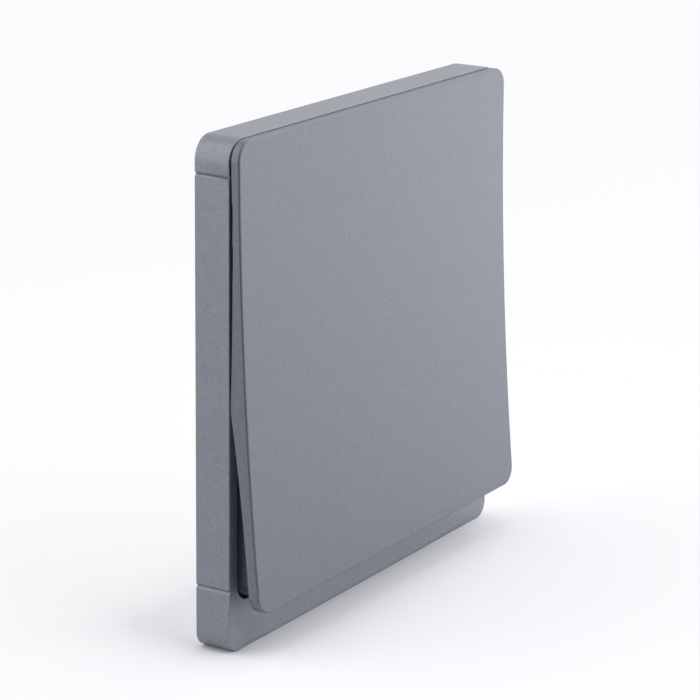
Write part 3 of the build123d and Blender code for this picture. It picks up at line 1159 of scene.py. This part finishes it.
@dataclass
class Studio:
    """White floor, a white tent round the object that is open towards the camera, and soft lamps.

    The floor's card is solid under the object. It thins out to floor_share within a few times shadow_reach,
    and slowly to nothing by floor_reach. The tent keeps its level up to tent_edge and is dark from tent_gap
    on, where both are cosines of the angle to the camera. Lengths are in metres.
    """

    # Each lamp's name, azimuth, height, distance, width, length and watts
    lamps: tuple[Softbox, ...] = (
        Softbox("high_back_softbox", 126.0, 50.0, 0.7, 0.4, 0.4, 0.85),
        Softbox("left_back_softbox", 150.0, 16.0, 0.7, 0.5, 0.6, 1.6),
        Softbox("right_front_softbox", -23.0, 26.0, 0.7, 1.1, 1.1, 4.3),
        Softbox("front_softbox", -72.0, 12.0, 0.7, 0.8, 0.5, 0.8),
        Softbox("high_front_softbox", -90.0, 40.0, 0.6, 0.4, 0.4, 1.1),
        Softbox("table_bounce", -2.0, -12.0, 0.6, 0.4, 0.2, 0.8),
    )
    tent: float = 0.84
    tent_edge: float = 0.3
    tent_gap: float = 0.85
    floor_radius: float = 0.8
    floor_sides: int = 96
    floor_reach: float = 0.25
    floor_share: float = 0.4
    shadow_reach: float = 0.0065
    floor_tone: str = "#f0f1f5"
    backdrop_tone: str = "#fbfbfd"

    def build(self, low: Vector, high: Vector, towards_camera: Vector) -> None:
        """Lay the floor, hang the lamps and set the surroundings.

        Args:
            low: Lowest corner of the object's box.
            high: Highest corner of the object's box.
            towards_camera: Direction from the object to the camera.
        """
        centre = (low + high) / 2
        self.floor(centre, (high - low) / 2)
        self.surroundings(towards_camera)
        for lamp in self.lamps:
            lamp.build(centre)

    def floor(self, centre: Vector, half: Vector) -> None:
        """Lay a white card that carries the object's shadow and fades out into the white surroundings.

        Args:
            centre: Middle of the object's box.
            half: Half of the box's sides.
        """
        disc = bmesh.new()
        bmesh.ops.create_circle(
            disc,
            cap_ends=True,
            radius=self.floor_radius,
            segments=self.floor_sides,
        )
        mesh = bpy.data.meshes.new("floor")
        disc.to_mesh(mesh)
        disc.free()
        mesh.materials.append(self.paper(half))
        card = placed("floor", mesh)
        card.location = (centre.x, centre.y, centre.z - half.z)

    def paper(self, half: Vector) -> bpy.types.Material:
        """Make the card's material, a matte white that thins out away from the object's foot.

        Args:
            half: Half of the sides of the object's box.

        Returns:
            The material.
        """
        paper = bpy.data.materials.new("matte_white_card")
        paper.use_nodes = True
        tree = paper.node_tree
        tree.nodes.clear()
        place = add_node(tree, "ShaderNodeTexCoord").outputs["Object"]
        across = vector_node(tree, "ABSOLUTE", place).outputs[0]
        beyond = vector_node(tree, "SUBTRACT", across, (half.x, half.y, 0.0)).outputs[0]
        outside = vector_node(tree, "MAXIMUM", beyond, (0, 0, 0)).outputs[0]
        away = vector_node(tree, "LENGTH", outside).outputs["Value"]
        near = math_node(tree, "MULTIPLY", away, -1 / self.shadow_reach)
        far = math_node(tree, "MULTIPLY", away, -1 / self.floor_reach)
        solid = mixed(
            tree,
            self.floor_share,
            math_node(tree, "EXPONENT", near),
            math_node(tree, "EXPONENT", far),
        )
        matte = add_node(tree, "ShaderNodeBsdfDiffuse", {"Color": linear(self.floor_tone)})
        clear = add_node(tree, "ShaderNodeBsdfTransparent")
        mix = add_node(
            tree,
            "ShaderNodeMixShader",
            {0: solid, 1: clear.outputs[0], 2: matte.outputs[0]},
        )
        add_node(tree, "ShaderNodeOutputMaterial", {"Surface": mix.outputs[0]})
        return paper

    def surroundings(self, towards_camera: Vector) -> None:
        """Set a white backdrop and a tent that darkens towards the camera's side.

        Args:
            towards_camera: Direction from the object to the camera.
        """
        world = bpy.data.worlds.new("studio")
        bpy.context.scene.world = world
        world.use_nodes = True
        tree = world.node_tree
        tree.nodes.clear()
        way = add_node(tree, "ShaderNodeTexCoord").outputs["Generated"]
        facing = vector_node(tree, "DOT_PRODUCT", way, towards_camera).outputs["Value"]
        level = add_node(
            tree,
            "ShaderNodeMapRange",
            {
                "Value": facing,
                "From Min": self.tent_edge,
                "From Max": self.tent_gap,
                "To Min": self.tent,
                "To Max": 0.0,
            },
            interpolation_type="SMOOTHSTEP",
        ).outputs[0]
        room = add_node(tree, "ShaderNodeBackground", {"Color": (1, 1, 1, 1), "Strength": level})
        backdrop = {"Color": linear(self.backdrop_tone), "Strength": 1.0}
        white = add_node(tree, "ShaderNodeBackground", backdrop)
        ray = add_node(tree, "ShaderNodeLightPath").outputs
        seen = math_node(tree, "MAXIMUM", ray["Is Camera Ray"], ray["Is Transmission Ray"])
        mix = add_node(
            tree,
            "ShaderNodeMixShader",
            {0: seen, 1: room.outputs[0], 2: white.outputs[0]},
        )
        add_node(tree, "ShaderNodeOutputWorld", {"Surface": mix.outputs[0]})


@dataclass(frozen=True)
class PhotoCamera:
    """Pinhole camera at the photograph's viewing angle."""

    place_mm: Place = (-397.29, -247.56, 129.31)
    heading_deg: float = 58.346
    pitch_deg: float = -15.647
    roll_deg: float = 0.664
    focal_px: float = 2793.6
    image_px: float = 700.0
    sensor_mm: float = 36.0

    def forward(self) -> Vector:
        """Give the viewing direction of the camera.

        Returns:
            A vector of length one.
        """
        turn = math.radians(self.heading_deg)
        pitch = math.radians(self.pitch_deg)
        return Vector((math.sin(turn) * math.cos(pitch), math.cos(turn) * math.cos(pitch), math.sin(pitch)))

    def build(self) -> None:
        """Set the scene's camera."""
        ahead = self.forward()
        right = ahead.cross(Vector((0, 0, 1))).normalized()
        up = right.cross(ahead)
        roll = math.radians(self.roll_deg)
        across = right * math.cos(roll) + up * math.sin(roll)
        above = up * math.cos(roll) - right * math.sin(roll)
        lens = bpy.data.cameras.new("photo_camera")
        lens.sensor_width = self.sensor_mm
        lens.lens = self.focal_px / self.image_px * self.sensor_mm
        holder = placed("photo_camera", lens)
        turned = Matrix((across, above, -ahead)).transposed().to_4x4()
        holder.matrix_world = Matrix.Translation(Vector(self.place_mm) * MM) @ turned
        bpy.context.scene.camera = holder


def dress_nodes() -> None:
    """Give the CAD nodes that are shown as they are their finishes."""
    finishes = {"dolly": ACETAL, "plunger_left": ACETAL, "plunger_right": ACETAL}
    for node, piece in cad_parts.items():
        if not piece.hide_render:
            finishes.get(node, BRASS).dress(piece)


def main() -> None:
    """Build the pieces, the studio and the camera in order."""
    bpy.context.scene.view_settings.view_transform = "Standard"
    FrameMoulding("frame", Body.HOUSING, LIGHTENED_FRAME_PAINT).build()
    Moulding("rocker", Body.ROCKER, ROCKER_PAINT).build()
    Moulding("mounting_plate", Body.HOUSING, BASE_PLASTIC).build()
    Moulding("base_housing", Body.HOUSING, BASE_PLASTIC).build()
    ContactSet().build()
    dress_nodes()
    low, high = CAD_BOX
    camera = PhotoCamera()
    camera.build()
    Studio().build(low, high, -camera.forward())


if __name__ == "__main__":
    logging.basicConfig(level=logging.INFO)
    main()
